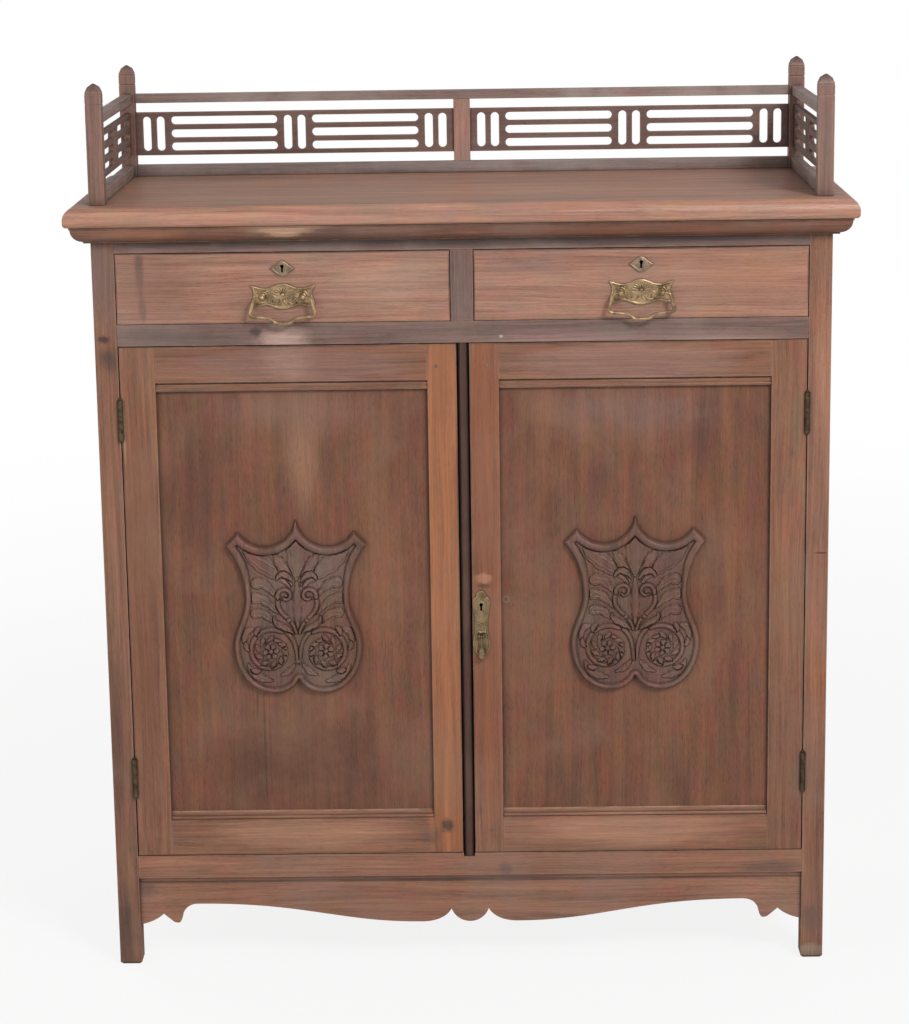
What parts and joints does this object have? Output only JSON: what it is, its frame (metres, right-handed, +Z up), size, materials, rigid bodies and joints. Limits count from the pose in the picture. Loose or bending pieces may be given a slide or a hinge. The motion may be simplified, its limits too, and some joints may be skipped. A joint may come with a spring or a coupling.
{
  "type": "buffet cabinet",
  "caption": "Hardwood buffet cabinet: drawers side by side over carved panelled doors, with a fretwork gallery round the top board.",
  "frame": {"origin": "on the floor, under the middle of the cabinet's bounding box", "axes": "+Z up, +X to the right as seen from the front, +Y to the back; the doors and drawers face -Y"},
  "size_m": [1.172, 0.465, 1.371],
  "materials": {
    "leg_wood": "worn oiled hardwood, warm brown",
    "frame_wood": "worn oiled hardwood, greyed",
    "top_wood": "worn oiled hardwood, satin",
    "gallery_wood": "worn oiled hardwood, dark",
    "door_frame_wood": "worn oiled hardwood, orange brown",
    "panel_wood": "worn oiled hardwood, deep brown",
    "carved_wood": "carved hardwood, dark in the hollows",
    "drawer_front_wood": "bleached hardwood, pinkish brown",
    "inside_wood": "plain unfinished wood",
    "handle_brass": "tarnished stamped brass",
    "dull_brass": "dull dark brass"
  },
  "bodies": {
    "carcass": {"front_legs": "leg_wood", "back_legs": "leg_wood", "top_rail": "frame_wood", "drawer_divider": "frame_wood", "mid_rail": "frame_wood", "centre_muntin": "frame_wood", "bottom_rail": "leg_wood", "apron": "leg_wood", "side_rails": "leg_wood", "side_panels": "panel_wood", "back_rails": "inside_wood", "back_boards": "inside_wood", "drawer_runners": "inside_wood", "drawer_guides": "inside_wood", "kickers": "inside_wood", "cupboard_floor": "inside_wood", "shelf": "inside_wood", "bearers": "inside_wood", "drawer_stops": "inside_wood", "top_board": "top_wood", "bed_moulding": "top_wood", "gallery_corner_posts": "gallery_wood", "gallery_centre_post": "gallery_wood", "gallery_back_rails": "gallery_wood", "gallery_side_rails": "gallery_wood", "gallery_back_frets": "gallery_wood", "gallery_side_frets": "gallery_wood", "case_hinge_leaves": "dull_brass"},
    "left_door": {"left_door_stiles": "door_frame_wood", "left_door_rails": "door_frame_wood", "left_door_panel": "panel_wood", "left_door_shield": "carved_wood", "left_door_hinge_leaves": "dull_brass", "slide_bolt_plate": "dull_brass"},
    "right_door": {"right_door_stiles": "door_frame_wood", "right_door_rails": "door_frame_wood", "right_door_panel": "panel_wood", "right_door_shield": "carved_wood", "right_door_hinge_leaves": "dull_brass", "door_lock_plate": "handle_brass", "door_lock": "dull_brass"},
    "left_drawer": {"left_drawer_front": "drawer_front_wood", "left_drawer_sides": "inside_wood", "left_drawer_back": "inside_wood", "left_drawer_bottom": "inside_wood", "left_drawer_plates": "handle_brass", "left_drawer_lock": "dull_brass"},
    "right_drawer": {"right_drawer_front": "drawer_front_wood", "right_drawer_sides": "inside_wood", "right_drawer_back": "inside_wood", "right_drawer_bottom": "inside_wood", "right_drawer_plates": "handle_brass", "right_drawer_lock": "dull_brass"},
    "left_bail": {"left_bail": "handle_brass"},
    "right_bail": {"right_bail": "handle_brass"},
    "drop_pull": {"drop_pull": "handle_brass"},
    "left_drawer_lock_bolt": {"left_drawer_lock_bolt": "dull_brass"},
    "right_drawer_lock_bolt": {"right_drawer_lock_bolt": "dull_brass"},
    "door_lock_bolt": {"door_lock_bolt": "dull_brass"},
    "slide_bolt": {"slide_bolt": "dull_brass"}
  },
  "joints": [
    {"name": "left_door_swing", "type": "hinge", "parent": "carcass", "child": "left_door", "pos_m": [-0.51525, -0.1995, 0.5875], "axis": [0, 0, -1], "range_deg": [0, 165]},
    {"name": "right_door_swing", "type": "hinge", "parent": "carcass", "child": "right_door", "pos_m": [0.51525, -0.1995, 0.5875], "axis": [0, 0, 1], "range_deg": [0, 165]},
    {"name": "left_drawer_slide", "type": "slide", "parent": "carcass", "child": "left_drawer", "axis": [0, -1, 0], "range_m": [0, 0.3]},
    {"name": "right_drawer_slide", "type": "slide", "parent": "carcass", "child": "right_drawer", "axis": [0, -1, 0], "range_m": [0, 0.3]},
    {"name": "left_bail_swing", "type": "hinge", "parent": "left_drawer", "child": "left_bail", "pos_m": [-0.2665, -0.2121, 1.0543], "axis": [-1, 0, 0], "range_deg": [-10, 165]},
    {"name": "right_bail_swing", "type": "hinge", "parent": "right_drawer", "child": "right_bail", "pos_m": [0.2665, -0.2121, 1.0543], "axis": [-1, 0, 0], "range_deg": [-10, 165]},
    {"name": "drop_pull_swing", "type": "hinge", "parent": "right_door", "child": "drop_pull", "pos_m": [0.023, -0.2061, 0.529], "axis": [-1, 0, 0], "range_deg": [0, 160]},
    {"name": "door_lock_turn", "type": "slide", "parent": "right_door", "child": "door_lock_bolt", "axis": [-1, 0, 0], "range_m": [0, 0.006]},
    {"name": "slide_bolt_shoot", "type": "slide", "parent": "left_door", "child": "slide_bolt", "axis": [0, 0, 1], "range_m": [0, 0.01]},
    {"name": "left_drawer_lock_turn", "type": "slide", "parent": "left_drawer", "child": "left_drawer_lock_bolt", "axis": [0, 0, 1], "range_m": [0, 0.007]},
    {"name": "right_drawer_lock_turn", "type": "slide", "parent": "right_drawer", "child": "right_drawer_lock_bolt", "axis": [0, 0, 1], "range_m": [0, 0.007]}
  ]
}
